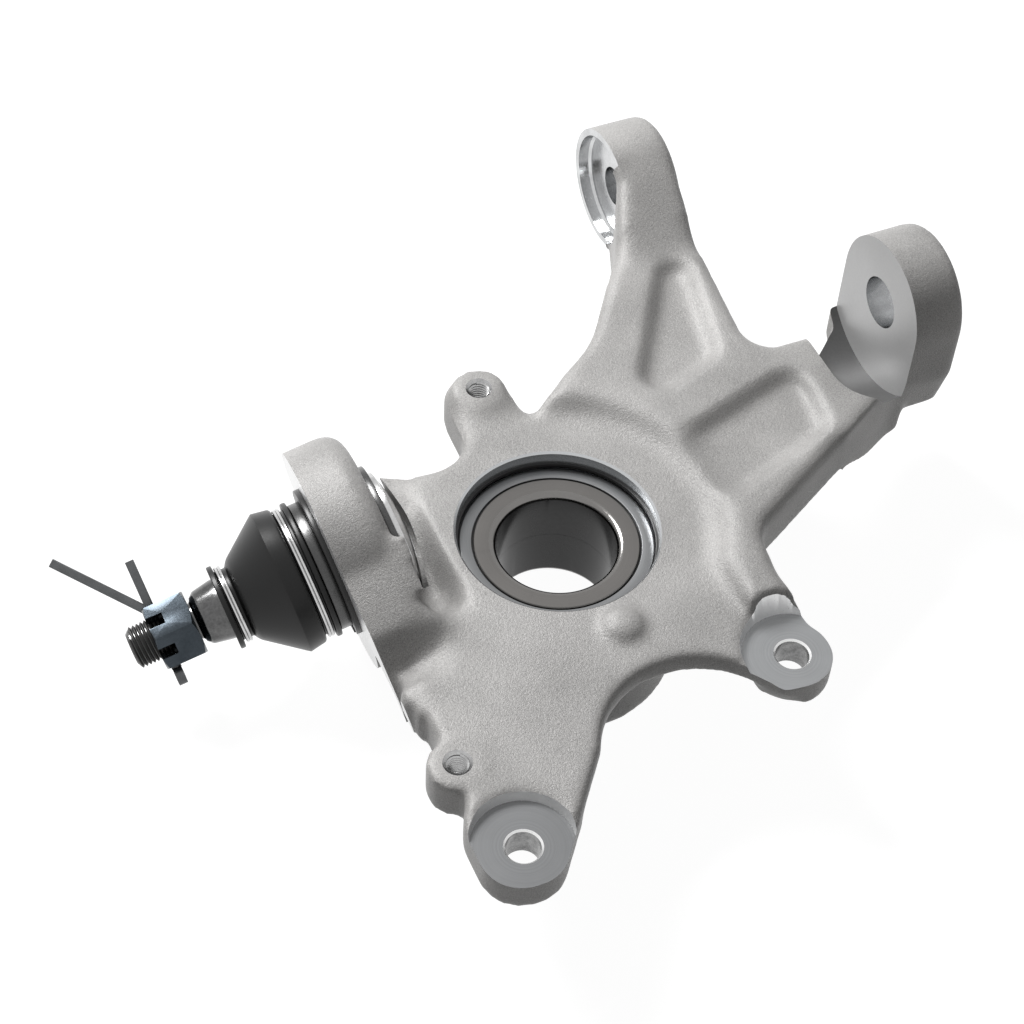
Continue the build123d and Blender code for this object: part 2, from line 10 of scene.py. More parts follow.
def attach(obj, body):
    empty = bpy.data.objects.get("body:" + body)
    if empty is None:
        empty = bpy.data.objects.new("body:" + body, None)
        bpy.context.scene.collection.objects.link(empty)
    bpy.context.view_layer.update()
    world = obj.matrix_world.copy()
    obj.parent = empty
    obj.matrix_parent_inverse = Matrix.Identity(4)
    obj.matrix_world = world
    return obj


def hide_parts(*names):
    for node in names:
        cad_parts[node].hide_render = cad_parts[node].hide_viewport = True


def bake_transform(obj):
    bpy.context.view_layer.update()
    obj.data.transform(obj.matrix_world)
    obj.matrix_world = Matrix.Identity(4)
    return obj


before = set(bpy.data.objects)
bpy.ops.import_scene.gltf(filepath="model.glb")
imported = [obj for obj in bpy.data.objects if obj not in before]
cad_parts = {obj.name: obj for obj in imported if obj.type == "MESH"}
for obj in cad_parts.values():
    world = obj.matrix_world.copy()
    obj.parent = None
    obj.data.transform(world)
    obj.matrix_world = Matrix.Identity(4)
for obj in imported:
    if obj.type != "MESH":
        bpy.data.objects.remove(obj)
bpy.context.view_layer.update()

MM = 0.001
X_AXIS = Vector((1, 0, 0))
Y_AXIS = Vector((0, 1, 0))
Z_AXIS = Vector((0, 0, 1))

# Ball joint: its own frame starts at the eye's machined face, z along the stud
JOINT_FACE = Vector((-78.2, 30.0, 12.8))
JOINT_TILT = math.radians(11.5)
JOINT_AXIS = Vector((-math.cos(JOINT_TILT), 0, -math.sin(JOINT_TILT)))
JOINT_DOWN = Vector((math.sin(JOINT_TILT), 0, -math.cos(JOINT_TILT)))
PIN_TURN = math.radians(-37.0)

# Hub and bearing
HUB_BOSS_BOTTOM = -32.5
PLATE_TOP = 30.0
PLATE_BOTTOM = 13.0
BEARING_R = 37.5
BEARING_FACE = 22.5
BORE_R = 22.5
BORE_ROUNDOVER = 2.6
HUB_SHOULDER_R = 32.0
HUB_LIP = 0.8
GROOVE_DEPTH = 1.7
GROOVE_WIDTH = 2.0

# Caliper lugs and threaded bosses
NEAR_LUG = Vector((55.3, -80.3, 0))
FAR_LUG = Vector((-65.4, -117.0, 0))
LUG_HOLE_R = 6.1
LUG_SPOT_R = 18.0
LUG_SPOT_WALL = math.radians(18.0)
LUG_FACE_Z = 25.7
LUG_LIFT = 5.0
SPOT_CUT_RISE = 14.0
UPPER_BOSS = Vector((-0.2, 73.2, 33.0))
LOWER_BOSS = Vector((-74.0, -81.0, 30.4))
PLATE_BUMP = (3.0, -49.0)
THREAD_R = 4.0
THREAD_CREST = 3.4
THREAD_PITCH = 1.25

# Ears
EAR = Vector((157.0, 43.5, 50.0))
EAR_THICK = 22.0
EAR_BORE_R = 10.5
SCOOP_R = 38.0
SCOOP_START = 129.0
SCOOP_END_R = 17.0
ARM_BY_SCOOP = ((118, -3), (153, 16.8), (157, 17.2), (157, 63), (151, 62), (134, 49.4), (118, 50))
TIE = Vector((94.0, 162.0, 30.0))
TIE_R = 26.0
TIE_THICK = 25.0
TIE_CUP_R = 23.0
TIE_CUP_DEPTH = 5.5
TIE_BORE_R = 8.4

# Eye of the ball joint
EYE_THICK = 22.0
EYE_BORE_R = 25.0
RECESS_R = 28.0
RECESS_RIM = -28.5
RECESS_MIDDLE = -34.0
BESIDE_EYE = ((-56.5, 62), (-56.5, 54), (-50, 50), (-44, 47), (-36, 46.5), (-36, 62))
EYE_FACE_R = 95.0
EYE_FACE_LIFTS = ((82, 5), (88, 2.5))

# Dish behind the eye: y, height half way to the plate, height by the eye, reach of its outer side
DISH_SECTIONS = (
    (-28, 29.8, 29.8, 0),
    (-20, 29.4, 24.0, 0),
    (-12, 28.6, 18.5, 0),
    (-2, 28.0, 16.5, 0),
    (8, 28.0, 18.0, 0),
    (18, 28.0, 21.5, 0),
    (28, 28.5, 25.5, 0),
    (38, 29.0, 28.0, 0),
    (46, 29.5, 29.5, -6),
    (51, 29.5, 29.5, -16),
    (57, 29.5, 29.5, -22),
)

# Web beside the eye: y, then the heights of its top from the eye's face to the plate
SADDLE_SECTIONS = (
    (-52, 29.0, 29.4, 29.6, 29.8),
    (-44, 27.0, 28.5, 29.4, 29.7),
    (-34, 21.0, 25.0, 28.3, 29.6),
    (-24, 15.5, 20.5, 26.5, 29.4),
    (-15, 13.5, 16.5, 22.5, 27.0),
)

# Ball stud and the split pin's cross hole, along the joint from the eye's face
BALL_AT = -8.0
BALL_R = 15.0
NECK_R = 8.5
NECK_END = 22.0
STUD_END = 79.0
STUD_THREAD_R = 8.0
STUD_THREAD_START = 65.0
STUD_THREAD_PITCH = 1.5
PIN_AT = 66.8
PIN_HOLE_R = 2.05
PIN_HOLE_REACH = 16.0

# How fine the casting's skin is, and how far its edges are softened and its joins melted
VOXEL = 1.35
SOFTENING = 10
MELTING = 60


def placed(origin, x_dir=X_AXIS, y_dir=Y_AXIS, z_dir=Z_AXIS):
    """Matrix that takes a local frame in millimetres to the part's frame in metres."""
    matrix = Matrix.Identity(4)
    for row in range(3):
        matrix[row][0] = x_dir[row] * MM
        matrix[row][1] = y_dir[row] * MM
        matrix[row][2] = z_dir[row] * MM
        matrix[row][3] = origin[row] * MM
    return matrix


PART = placed(Vector((0, 0, 0)))
JOINT = placed(JOINT_FACE, Y_AXIS, JOINT_DOWN, JOINT_AXIS)


def along_x(place):
    """Frame whose z runs along the part's X from the given place."""
    return placed(place, Y_AXIS, Z_AXIS, X_AXIS)


def new_object(name, mesh):
    obj = bpy.data.objects.new(name, mesh)
    bpy.context.scene.collection.objects.link(obj)
    return obj


def finished(bm, name):
    """Turns a bmesh into an object with its normals outward."""
    bmesh.ops.recalc_face_normals(bm, faces=bm.faces)
    mesh = bpy.data.meshes.new(name)
    bm.to_mesh(mesh)
    bm.free()
    return new_object(name, mesh)


def turned(name, outline, place=PART, segments=144, finishes=None):
    """A body turned about the place's z from (radius, z) points; each stretch may have its own finish."""
    bm = bmesh.new()
    rings = []
    for radius, z in outline:
        count = 1 if radius < 1e-6 else segments
        turns = [2 * math.pi * i / segments for i in range(count)]
        rings.append([bm.verts.new((radius * math.cos(a), radius * math.sin(a), z)) for a in turns])
    for k, low in enumerate(rings):
        high = rings[(k + 1) % len(rings)]
        if len(low) == 1 and len(high) == 1:
            continue
        for i in range(segments):
            j = (i + 1) % segments
            corners = [low[i % len(low)], low[j % len(low)], high[j % len(high)], high[i % len(high)]]
            face = bm.faces.new(list(dict.fromkeys(corners)))
            face.material_index = finishes[k] if finishes else 0
    bm.transform(place)
    return finished(bm, name)


def disc(name, radius, z0, z1, place=PART, segments=144):
    return turned(name, [(0, z0), (radius, z0), (radius, z1), (0, z1)], place, segments)


def prism(name, corners, z0, z1, place=PART):
    """A straight body over a flat outline of (x, y) corners."""
    bm = bmesh.new()
    low = [bm.verts.new((x, y, z0)) for x, y in corners]
    high = [bm.verts.new((x, y, z1)) for x, y in corners]
    bm.faces.new(low)
    bm.faces.new(high)
    for i in range(len(corners)):
        j = (i + 1) % len(corners)
        bm.faces.new((low[i], low[j], high[j], high[i]))
    bm.transform(place)
    return finished(bm, name)


def lofted(name, loops):
    """A closed body through a row of outlines that have as many points each."""
    bm = bmesh.new()
    rows = [[bm.verts.new(point) for point in loop] for loop in loops]
    for low, high in zip(rows, rows[1:]):
        for i in range(len(low)):
            j = (i + 1) % len(low)
            bm.faces.new((low[i], low[j], high[j], high[i]))
    bm.faces.new(rows[0])
    bm.faces.new(rows[-1])
    return finished(bm, name)


def coiled(name, radius, pitch, z0, z1, section, place, per_turn=72):
    """A section of (out, along) points swept along a helix about the place's z."""
    bm = bmesh.new()
    count = int(per_turn * (z1 - z0) / pitch)
    loops = []
    for i in range(count + 1):
        angle = 2 * math.pi * i / per_turn
        rise = z0 + pitch * i / per_turn
        loop = []
        for out, along in section:
            reach = radius + out
            loop.append(bm.verts.new((reach * math.cos(angle), reach * math.sin(angle), rise + along)))
        loops.append(loop)
    for low, high in zip(loops, loops[1:]):
        for i in range(len(section)):
            j = (i + 1) % len(section)
            bm.faces.new((low[i], low[j], high[j], high[i]))
    bm.faces.new(loops[0])
    bm.faces.new(loops[-1])
    bm.transform(place)
    return finished(bm, name)


def eased(corners, steps=5):
    """An outline of (radius, z, ease) corners with each one rounded by its ease."""
    points = []
    count = len(corners)
    for i, (r, z, ease) in enumerate(corners):
        corner = Vector((r, z))
        if ease <= 0:
            points.append((r, z))
            continue
        back = (Vector(corners[i - 1][:2]) - corner).normalized()
        ahead = (Vector(corners[(i + 1) % count][:2]) - corner).normalized()
        start, end = corner + back * ease, corner + ahead * ease
        for k in range(steps + 1):
            t = k / steps
            point = start * (1 - t) ** 2 + corner * 2 * t * (1 - t) + end * t ** 2
            points.append((point.x, point.y))
    return points


def applied(obj):
    """The object with its modifiers made real."""
    graph = bpy.context.evaluated_depsgraph_get()
    mesh = bpy.data.meshes.new_from_object(obj.evaluated_get(graph), depsgraph=graph)
    old = obj.data
    obj.modifiers.clear()
    obj.data = mesh
    bpy.data.meshes.remove(old)
    return obj


def dropped(obj):
    mesh = obj.data
    bpy.data.objects.remove(obj)
    bpy.data.meshes.remove(mesh)


def joined(name, objects):
    """One object with all the meshes, and the sources gone."""
    bm = bmesh.new()
    for obj in objects:
        bm.from_mesh(obj.data)
        dropped(obj)
    mesh = bpy.data.meshes.new(name)
    bm.to_mesh(mesh)
    bm.free()
    return new_object(name, mesh)


def cut(obj, tools, operation="DIFFERENCE"):
    """Takes the tools off the object, joins them to it or keeps what they share."""
    for tool in tools:
        modifier = obj.modifiers.new("cut", "BOOLEAN")
        modifier.operation = operation
        modifier.solver = "MANIFOLD"
        modifier.object = tool
        modifier.material_mode = "INDEX"
        applied(obj)
        dropped(tool)
    return obj


def shade(obj, sharp_deg=32):
    """Smooth shading that breaks at edges sharper than the angle."""
    bm = bmesh.new()
    bm.from_mesh(obj.data)
    limit = math.radians(sharp_deg)
    for face in bm.faces:
        face.smooth = True
    for edge in bm.edges:
        edge.smooth = len(edge.link_faces) == 2 and edge.calc_face_angle(0) < limit
    bm.to_mesh(obj.data)
    bm.free()
    return obj


def bevelled(obj, width, segments=2, angle_deg=30):
    modifier = obj.modifiers.new("bevel", "BEVEL")
    modifier.width = width * MM
    modifier.segments = segments
    modifier.limit_method = "ANGLE"
    modifier.angle_limit = math.radians(angle_deg)
    modifier.use_clamp_overlap = True
    return applied(obj)


def cad_copy(name, node):
    """A welded copy of a CAD node's mesh, to dress instead of it."""
    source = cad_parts[node]
    bm = bmesh.new()
    bm.from_mesh(source.data)
    bmesh.ops.transform(bm, matrix=source.matrix_world, verts=bm.verts)
    bmesh.ops.remove_doubles(bm, verts=bm.verts, dist=2e-6)
    return finished(bm, name)


def dressed(obj, body, materials, slot, *nodes):
    """Gives a piece its materials and body, and hides the CAD nodes that it stands for."""
    slots = obj.data.materials
    if not any(slots):
        for i, material in enumerate(materials):
            if i < len(slots):
                slots[i] = material
            else:
                slots.append(material)
    if body:
        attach(obj, body)
    if nodes:
        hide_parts(*nodes)
    return obj


class Shader:
    """A material's node tree, with short calls to add and join nodes."""

    def __init__(self, tree):
        self.tree = tree

    def node(self, kind, **values):
        node = self.tree.nodes.new(kind)
        for key, value in values.items():
            setattr(node, key, value)
        return node

    def join(self, source, target):
        self.tree.links.new(source, target)

    def maths(self, operation, *values, clamp=False):
        """A Math node; each value is a number or a socket."""
        node = self.node("ShaderNodeMath", operation=operation, use_clamp=clamp)
        for socket, value in zip(node.inputs, values):
            if isinstance(value, (int, float)):
                socket.default_value = value
            else:
                self.join(value, socket)
        return node.outputs[0]


def new_group(name, inputs, outputs):
    tree = bpy.data.node_groups.new(name, "ShaderNodeTree")
    for socket, kind, value in inputs:
        made = tree.interface.new_socket(name=socket, in_out="INPUT", socket_type=kind)
        if value is not None:
            made.default_value = value
    for socket, kind in outputs:
        tree.interface.new_socket(name=socket, in_out="OUTPUT", socket_type=kind)
    shader = Shader(tree)
    return shader, shader.node("NodeGroupInput"), shader.node("NodeGroupOutput")


def make_grain_group():
    """Blasted or handled surface: a fine mask, slow patches and a height for a bump."""
    shader, inp, out = new_group(
        "Grain",
        [
            ("Vector", "NodeSocketVector", None),
            ("Grain per mm", "NodeSocketFloat", 2.0),
            ("Patch mm", "NodeSocketFloat", 25.0),
        ],
        [("Mask", "NodeSocketFloat"), ("Patches", "NodeSocketFloat"), ("Height", "NodeSocketFloat")],
    )
    per_metre = shader.maths("MULTIPLY", inp.outputs["Grain per mm"], 1 / MM)
    leaning = shader.node("ShaderNodeMapping")
    leaning.inputs["Rotation"].default_value = (0.5, 0.35, 0.8)
    shader.join(inp.outputs["Vector"], leaning.inputs["Vector"])
    fine = shader.node("ShaderNodeTexNoise")
    fine.inputs["Detail"].default_value = 2
    fine.inputs["Roughness"].default_value = 0.7
    shader.join(leaning.outputs[0], fine.inputs["Vector"])
    shader.join(per_metre, fine.inputs["Scale"])
    per_patch = shader.maths("DIVIDE", 1 / MM, inp.outputs["Patch mm"])
    patches = shader.node("ShaderNodeTexNoise")
    patches.inputs["Detail"].default_value = 4
    shader.join(leaning.outputs[0], patches.inputs["Vector"])
    shader.join(per_patch, patches.inputs["Scale"])
    coarse = shader.node("ShaderNodeTexNoise")
    coarse.inputs["Detail"].default_value = 1
    shader.join(leaning.outputs[0], coarse.inputs["Vector"])
    shader.join(shader.maths("MULTIPLY", per_metre, 0.4), coarse.inputs["Scale"])
    height = shader.maths("MULTIPLY_ADD", coarse.outputs["Fac"], 0.6, fine.outputs["Fac"])
    shader.join(fine.outputs["Fac"], out.inputs["Mask"])
    shader.join(patches.outputs["Fac"], out.inputs["Patches"])
    shader.join(height, out.inputs["Height"])
    return shader.tree


def make_turning_group():
    """Fine rings left by a cutter that turned about Z through a centre."""
    shader, inp, out = new_group(
        "Turning marks",
        [
            ("Vector", "NodeSocketVector", None),
            ("Centre", "NodeSocketVector", None),
            ("Marks per mm", "NodeSocketFloat", 1.5),
        ],
        [("Mask", "NodeSocketFloat"), ("Height", "NodeSocketFloat")],
    )
    away = shader.node("ShaderNodeVectorMath", operation="SUBTRACT")
    shader.join(inp.outputs["Vector"], away.inputs[0])
    shader.join(inp.outputs["Centre"], away.inputs[1])
    flat = shader.node("ShaderNodeVectorMath", operation="MULTIPLY")
    flat.inputs[1].default_value = (1, 1, 0)
    shader.join(away.outputs[0], flat.inputs[0])
    reach = shader.node("ShaderNodeVectorMath", operation="LENGTH")
    shader.join(flat.outputs[0], reach.inputs[0])
    scale = shader.maths("MULTIPLY", inp.outputs["Marks per mm"], 1 / MM)
    marks = shader.node("ShaderNodeTexNoise", noise_dimensions="1D")
    marks.inputs["Detail"].default_value = 3
    marks.inputs["Roughness"].default_value = 0.7
    shader.join(shader.maths("MULTIPLY", reach.outputs["Value"], scale), marks.inputs["W"])
    marks.inputs["Scale"].default_value = 1.0
    shader.join(marks.outputs["Fac"], out.inputs["Mask"])
    shader.join(marks.outputs["Fac"], out.inputs["Height"])
    return shader.tree


GRAIN = make_grain_group()
TURNING = make_turning_group()


def new_material(name):
    material = bpy.data.materials.new(name)
    material.use_nodes = True
    shader = Shader(material.node_tree)
    return material, shader, material.node_tree.nodes["Principled BSDF"]


def finish(
        name, dark, light, metallic, rough, swing, grain, bump_mm,
        patch=25.0, speckle=0.8, turned_about=None, mirror=0.5):
    """A finish between two colours, with grain in its colour, gloss and bump, and maybe turning marks."""
    material, shader, surface = new_material(name)
    place = shader.node("ShaderNodeTexCoord")
    marks = shader.node("ShaderNodeGroup", node_tree=GRAIN)
    marks.inputs["Grain per mm"].default_value = grain
    marks.inputs["Patch mm"].default_value = patch
    shader.join(place.outputs["Object"], marks.inputs["Vector"])
    mask, height = marks.outputs["Mask"], marks.outputs["Height"]
    if turned_about is not None:
        rings = shader.node("ShaderNodeGroup", node_tree=TURNING)
        rings.inputs["Centre"].default_value = turned_about * MM
        rings.inputs["Marks per mm"].default_value = grain
        shader.join(place.outputs["Object"], rings.inputs["Vector"])
        mask, height = rings.outputs["Mask"], rings.outputs["Height"]
    speckles = shader.maths("MULTIPLY_ADD", mask, speckle, -speckle / 2)
    amount = shader.maths("ADD", marks.outputs["Patches"], speckles, clamp=True)
    colour = shader.node("ShaderNodeMix", data_type="RGBA")
    colour.inputs[6].default_value = (*dark, 1)
    colour.inputs[7].default_value = (*light, 1)
    shader.join(amount, colour.inputs[0])
    shader.join(colour.outputs[2], surface.inputs["Base Color"])
    gloss = shader.node("ShaderNodeMapRange")
    gloss.inputs["To Min"].default_value = rough - swing
    gloss.inputs["To Max"].default_value = rough + swing
    shader.join(mask, gloss.inputs["Value"])
    shader.join(gloss.outputs[0], surface.inputs["Roughness"])
    bump = shader.node("ShaderNodeBump")
    bump.inputs["Distance"].default_value = bump_mm * MM
    shader.join(height, bump.inputs["Height"])
    shader.join(bump.outputs[0], surface.inputs["Normal"])
    surface.inputs["Metallic"].default_value = metallic
    surface.inputs["Specular IOR Level"].default_value = mirror
    return material


def grey(value, tint=0.0):
    """A neutral grey, cooler where the tint is above 0 and warmer below."""
    return (value * (1 - tint), value, value * (1 + tint))


CENTRE = Vector((0, 0, 0))
CAST = finish(
    "cast aluminium", grey(0.20, -0.02), grey(0.50, -0.02), 0.12, 0.40, 0.1, 2.3, 0.2, 40.0, 1.9,
    mirror=0.3)
MILLED = finish(
    "milled aluminium", grey(0.36, 0.01), grey(0.74, 0.01), 1.0, 0.18, 0.05, 1.0, 0.01, 11.0, 0.5)
# The ear's face is the lighter of two copies of one cut: painted light.
LIT_FACE_FINISH = finish("faced aluminium with painted light", grey(0.52), grey(0.62), 0.4, 0.4, 0.05, 1.0, 0.006)
TAPPED = finish("tapped aluminium", grey(0.28), grey(0.55), 1.0, 0.25, 0.05, 2.0, 0.01, 3.0)
# Dark drilled walls: painted shade inside the holes.
DRILLED_SHADED = finish("drilled aluminium with painted shade", grey(0.08), grey(0.34), 1.0, 0.24, 0.05, 1.2, 0.02, 3.0, 1.0)
# Near-white cut walls: a painted highlight standing in for their grazing reflection.
GLINT_WALL_FINISH = finish("cut wall with painted highlight", grey(0.86), grey(0.97), 0.7, 0.3, 0.06, 1.2, 0.008)
# The scoop is the darker copy of the same cut: painted shade.
SHADED_SCOOP_FINISH = finish("scooped aluminium with painted shade", grey(0.10), grey(0.14), 0.5, 0.42, 0.05, 1.0, 0.006)
NEAR_FACE = finish(
    "near spot face", grey(0.25, 0.02), grey(0.34, 0.02), 0.6, 0.4, 0.06, 1.6, 0.006,
    turned_about=NEAR_LUG)
# The far spot face is the near face's finish painted darker: painted shade.
FAR_FACE_SHADED = finish(
    "far spot face with painted shade", grey(0.15, 0.02), grey(0.21, 0.02), 0.6, 0.4, 0.06, 1.6, 0.006,
    turned_about=FAR_LUG)
HUB_WALL = finish(
    "hub wall", grey(0.46, 0.02), grey(0.60, 0.02), 0.9, 0.26, 0.05, 2.0, 0.004,
    turned_about=CENTRE)
OUTER_RING = finish(
    "ground outer ring", grey(0.17, 0.02), grey(0.23, 0.02), 0.85, 0.3, 0.05, 3.0, 0.003,
    turned_about=CENTRE)
INNER_FACE = finish(
    "ground inner ring", grey(0.115, -0.04), grey(0.155, -0.04), 0.85, 0.3, 0.05, 3.0, 0.003,
    turned_about=CENTRE)
# Darkened roundover steel: a painted dark reflection.
INNER_EDGE_DARKENED = finish("polished edge with painted dark reflection", grey(0.16, -0.03), grey(0.22, -0.03), 1.0, 0.16, 0.03, 2.0, 0.002)
# Near-black bore steel: a painted dark reflection.
INNER_BORE_DARKENED = finish("polished bore with painted dark reflection", grey(0.02), grey(0.045), 0.4, 0.2, 0.03, 0.6, 0.002)
BALL_STEEL = finish("polished balls", grey(0.5), grey(0.6), 1.0, 0.08, 0.02, 1.5, 0.001)
# Darkened steel on a bright shank: a painted dark reflection.
STUD_STEEL_DARKENED = finish("forged stud with painted dark reflection", grey(0.05), grey(0.18), 1.0, 0.2, 0.06, 0.8, 0.01, 12.0)
THREAD_STEEL = finish(
    "rolled thread", grey(0.02, -0.03), grey(0.06, -0.03), 0.6, 0.5, 0.05, 3.0, 0.005, 6.0)
CAP_STEEL = finish("bright cap", grey(0.40), grey(0.62), 1.0, 0.18, 0.04, 0.8, 0.006, 10.0)
# Darkened band on a bright pressed housing: a painted dark reflection.
HOUSING_DARKENED = finish("housing with painted dark reflection", grey(0.05), grey(0.11), 1.0, 0.28, 0.05, 1.5, 0.006, 10.0)
WIRE = finish("spring wire", grey(0.45), grey(0.65), 1.0, 0.16, 0.04, 2.0, 0.002, 8.0)
# Near-black zinc: painted shade, the whole nut darkened to the tone of its shaded faces.
ZINC_SHADED = finish("blue zinc with painted shade", grey(0.032, 0.2), grey(0.07, 0.16), 0.95, 0.24, 0.06, 1.2, 0.01, 8.0)
DULL_ZINC = finish("dull zinc", grey(0.07, 0.03), grey(0.14, 0.03), 0.8, 0.4, 0.06, 2.5, 0.01, 6.0)
BLACK_STEEL = finish("black steel", grey(0.010), grey(0.024), 0.3, 0.32, 0.06, 2.0, 0.01, 10.0)
RUBBER = finish(
    "rubber", grey(0.004), grey(0.009, 0.03), 0.0, 0.34, 0.08, 3.0, 0.012, 15.0, mirror=0.3)
CAGE = finish("cage plastic", (0.05, 0.12, 0.08), (0.06, 0.15, 0.1), 0.0, 0.5, 0.05, 3.0, 0.01)
SEAT = finish("seat plastic", grey(0.66), grey(0.78), 0.0, 0.45, 0.05, 3.0, 0.01)

CASTING_FINISHES = [
    CAST, MILLED, GLINT_WALL_FINISH, SHADED_SCOOP_FINISH, NEAR_FACE, FAR_FACE_SHADED, HUB_WALL, LIT_FACE_FINISH, TAPPED, DRILLED_SHADED,
]
CAST_SKIN, MILL, WALL_GLINT, SCOOP_SHADE, NEAR, FAR_SHADE, HUB, FACE_LIT, TAP, DRILL_SHADE = range(10)


def filled_casting():
    """The CAD casting with its bores filled and its scooped arm made whole, as one closed skin."""
    fills = [cad_copy("casting", "knuckle_casting")]
    fills.append(disc("fill", BEARING_R + 3, HUB_BOSS_BOTTOM - 3, PLATE_TOP))
    for place in (NEAR_LUG, FAR_LUG):
        fills.append(disc("fill", LUG_HOLE_R + 2, 15, LUG_FACE_Z, placed(place)))
    for x, y, top in (UPPER_BOSS, LOWER_BOSS):
        fills.append(disc("fill", THREAD_R + 2, PLATE_BOTTOM + 0.5, top, placed((x, y, 0))))
    fills.append(disc("fill", EAR_BORE_R + 2, 0.5, EAR_THICK - 0.5, along_x(EAR)))
    fills.append(prism("fill", ARM_BY_SCOOP, PLATE_BOTTOM + 1, 36.2))
    fills.append(disc("fill", TIE_R, -2, TIE_THICK - 4, along_x(TIE)))
    fills.append(disc("fill", EYE_BORE_R + 2, -EYE_THICK + 1, -1, JOINT))
    skin = voxelled(joined("casting", fills))
    return cut(skin, [prism("tool", BESIDE_EYE, PLATE_BOTTOM + 0.5, 60)])


def dish_behind_eye():
    """Metal that closes the plate behind the ball joint and slopes down to it."""
    loops = []
    for y, middle, low, pull in DISH_SECTIONS:
        profile = [
            (-62, 14), (-62, low), (-53, low), (-47, low + 0.5), (-43.5, middle), (-38, 29.8), (-38, 14),
        ]
        squeeze = (24 + pull) / 24
        loops.append([((-62 + (x + 62) * squeeze) * MM, y * MM, z * MM) for x, z in profile])
    return lofted("fill", loops)


def saddle_by_web():
    """Metal that carries the web's top up into the plate in one soft slope."""
    loops = []
    for y, *tops in SADDLE_SECTIONS:
        profile = [(-77.5, 9)] + list(zip((-77.5, -67, -58, -49), tops)) + [(-49, 9)]
        loops.append([(x * MM, y * MM, z * MM) for x, z in profile])
    return lofted("fill", loops)


def cast_dimple():
    """The low round boss that the mould leaves on the plate below the hub."""
    x, y = PLATE_BUMP
    outline = [(0, 26), (9.5, 26), (8.5, 30), (6.8, 32.2), (4.5, 33.6), (0, 34.0)]
    return turned("fill", outline, placed((x, y, 0)), 48)


def voxelled(obj):
    remesh = obj.modifiers.new("voxel", "REMESH")
    remesh.mode = "VOXEL"
    remesh.voxel_size = VOXEL * MM
    return applied(obj)


def lifted_slice(source, tool, shift):
    """The part of the casting inside the tool, moved out so that a face can be cut on it."""
    piece = new_object("slice", source.data.copy())
    cut(piece, [tool], "INTERSECT")
    piece.data.transform(Matrix.Translation(shift * MM))
    return piece


def soft_casting():
    """The casting's soft skin, standing proud where a machined face will be cut."""
    skin = filled_casting()
    slices = [dish_behind_eye(), saddle_by_web(), cast_dimple()]
    for place in (NEAR_LUG, FAR_LUG):
        tool = disc("tool", 21, 15.5, 23.5, placed(place))
        slices.append(lifted_slice(skin, tool, Z_AXIS * LUG_LIFT))
    for radius, shift in EYE_FACE_LIFTS:
        slices.append(lifted_slice(skin, disc("tool", radius, -8, -3, JOINT), JOINT_AXIS * shift))
    corners = ((9, -5), (80, -5), (80, 90), (9, 90))
    tool = prism("tool", corners, 1.5, 8, along_x(Vector((EAR.x, 0, 0))))
    slices.append(lifted_slice(skin, tool, X_AXIS * -5))
    corners = ((151, 0), (192, 0), (192, 60), (151, 60))
    tool = prism("tool", corners, 2, 9, along_x(Vector((TIE.x, 0, 0))))
    slices.append(lifted_slice(skin, tool, X_AXIS * -5))
    skin = voxelled(joined("casting", [skin] + slices))
    smooth = skin.modifiers.new("soften", "SMOOTH")
    smooth.factor = 0.5
    smooth.iterations = SOFTENING
    applied(skin)
    melt = skin.modifiers.new("melt", "SMOOTH")
    melt.factor = 0.5
    melt.iterations = MELTING
    melt.vertex_group = melted_group(skin)
    return applied(skin)


def melted_group(skin):
    """Marks where the arms, the tie ear's strap and the web behind the eye run into the plate."""
    group = skin.vertex_groups.new(name="melted")
    for vertex in skin.data.vertices:
        weight = melt_at(*(vertex.co / MM))
        if weight > 0:
            group.add([vertex.index], min(1, 2 * weight), "REPLACE")
    return group.name


def melt_at(x, y, z):
    """How much a place melts: on the plate's top round the hub, and by the strap, the web and the lug."""
    by_hub = 1 - abs(math.hypot(x, y) - 62) / 12 if z > PLATE_TOP - 2 and (x > 25 or y > 30) else 0
    by_strap = 1 - abs(y - 116) / 10 if x > 70 else 0
    by_web = min(x + 72, -40 - x, y + 56, -4 - y) / 8 if z > 4 else 0
    by_lug = 1 - math.hypot(x - NEAR_LUG.x + 11, y - NEAR_LUG.y + 13) / 10
    return max(by_hub, by_strap, by_web, by_lug)


def hub_tools():
    boss = disc("tool", 60, HUB_BOSS_BOTTOM - 9, HUB_BOSS_BOTTOM)
    bore = turned("tool", [
        (0, HUB_BOSS_BOTTOM - 8),
        (HUB_SHOULDER_R, HUB_BOSS_BOTTOM - 8),
        (HUB_SHOULDER_R, -BEARING_FACE),
        (BEARING_R, -BEARING_FACE),
        (BEARING_R, BEARING_FACE),
        (BEARING_R + GROOVE_DEPTH, BEARING_FACE),
        (BEARING_R + GROOVE_DEPTH, BEARING_FACE + GROOVE_WIDTH),
        (BEARING_R, BEARING_FACE + GROOVE_WIDTH),
        (BEARING_R, PLATE_TOP - HUB_LIP),
        (BEARING_R + HUB_LIP + 5, PLATE_TOP + 5),
        (0, PLATE_TOP + 5),
    ], PART, 192, [HUB] * 11)
    return [boss, bore]


